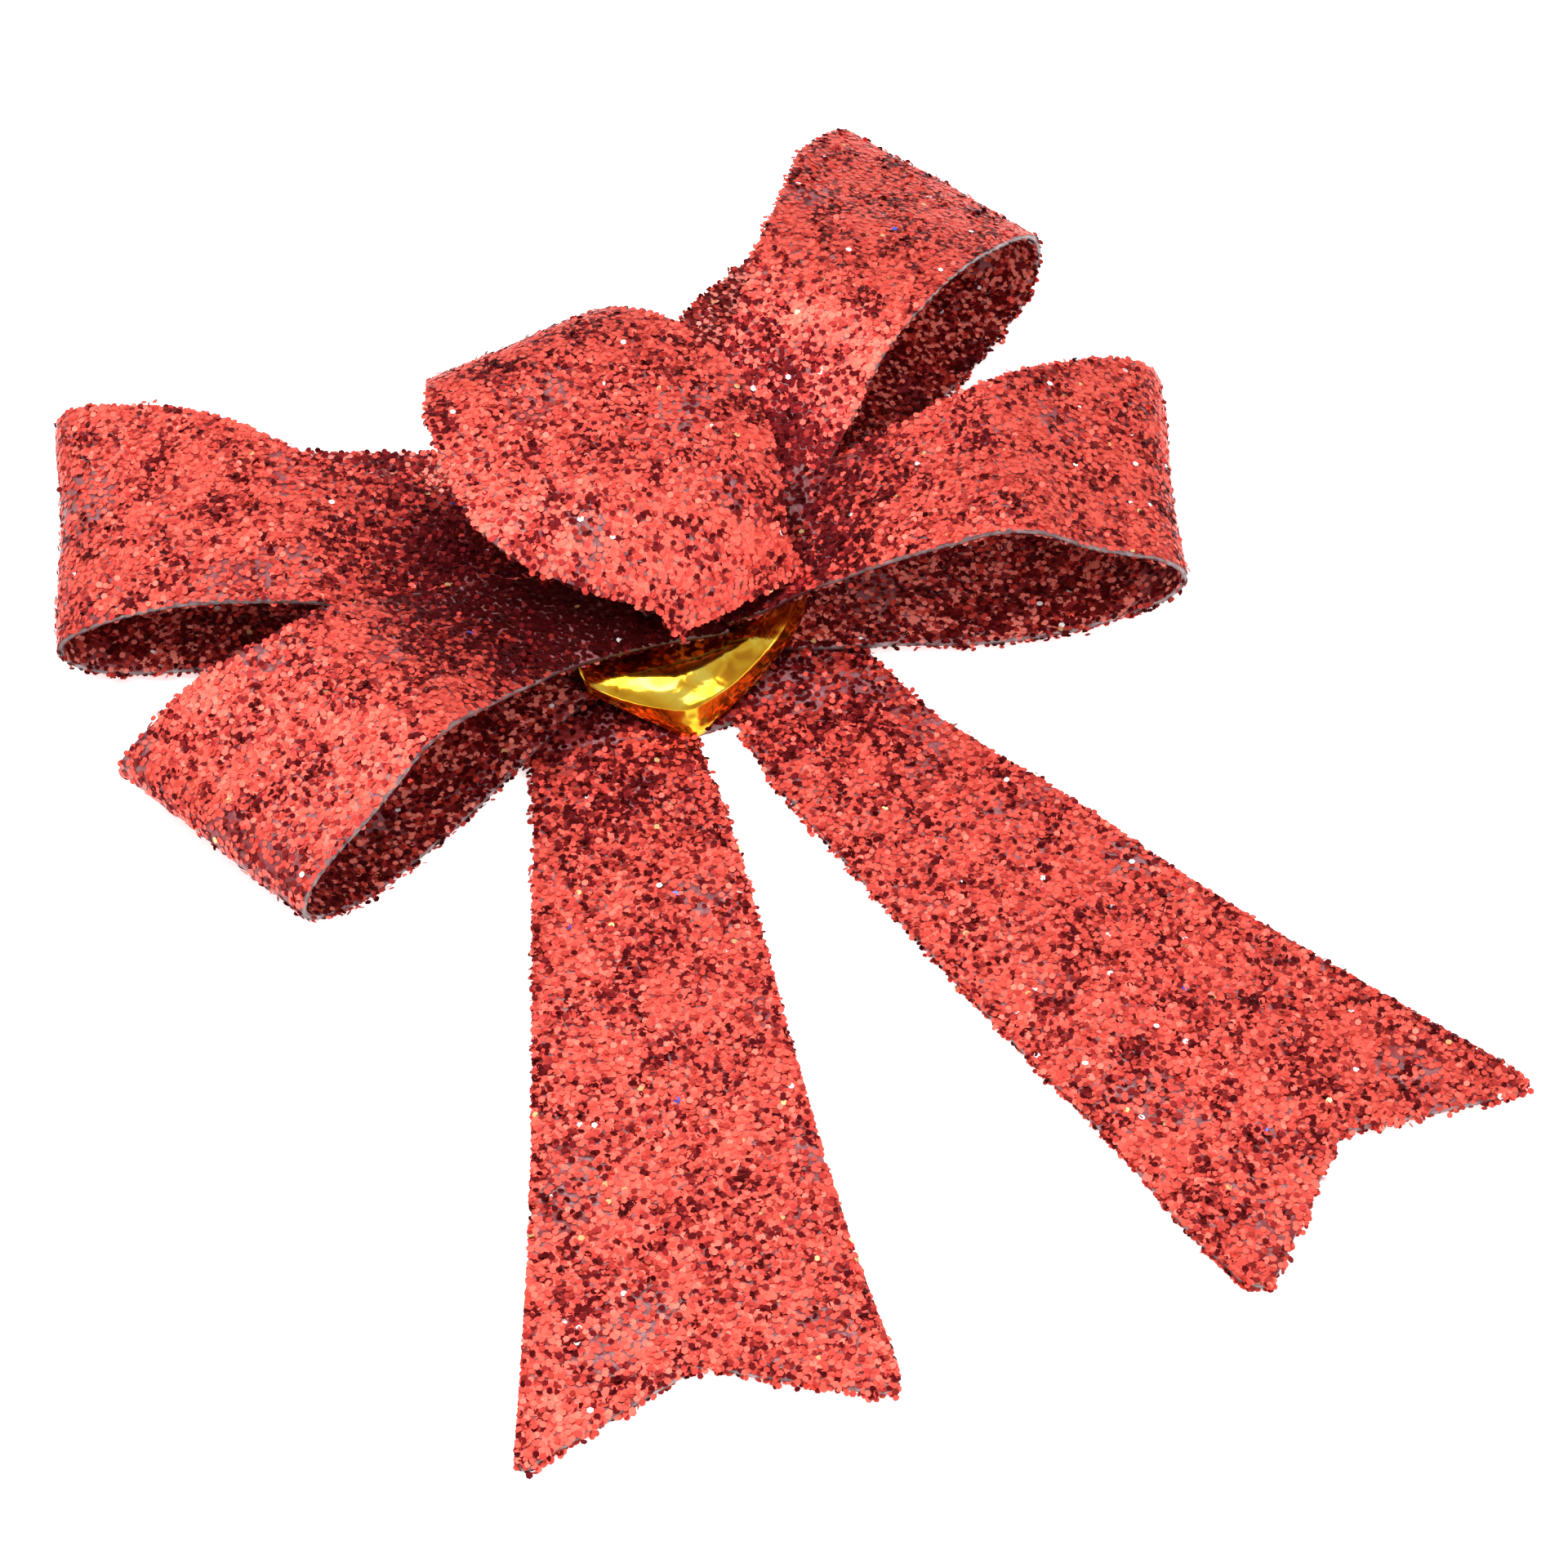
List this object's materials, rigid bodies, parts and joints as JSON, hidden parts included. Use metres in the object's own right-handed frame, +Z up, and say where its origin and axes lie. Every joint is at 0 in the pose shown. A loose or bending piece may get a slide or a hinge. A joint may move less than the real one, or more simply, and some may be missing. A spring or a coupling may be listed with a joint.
{
  "type": "gift bow",
  "caption": "Ready-made decorative gift bow of stiff red glittered PVC ribbon with crossed loops, swallow-tailed tails, a curled knot petal and a gold film tie",
  "frame": {"origin": "on the rest plane, under the crossing of the two loop strips: the middle of the flat back run of the gold tie", "axes": "+Z up from the back to the knot, -Y along the tails, +X to the right seen from above with the tails towards the viewer"},
  "size_m": [0.1027, 0.124, 0.018],
  "materials": {
    "glitter_ribbon": "clear PVC ribbon coated on both faces with red hexagonal glitter",
    "gold_film": "mirror-bright gold metallised film",
    "hot_melt": "cloudy hot-melt glue"
  },
  "bodies": {
    "root": {"tail_piece": "glitter_ribbon", "under_loop_strip": "glitter_ribbon", "over_loop_strip": "glitter_ribbon", "knot_petal": "glitter_ribbon", "gold_tie": "gold_film", "glue_tail_to_strip": "hot_melt", "glue_strip_to_strip": "hot_melt", "glue_under_tie": "hot_melt", "glue_upper_loop_ends": "hot_melt", "glue_lower_loop_ends": "hot_melt", "glue_knot_base": "hot_melt"}
  },
  "joints": []
}
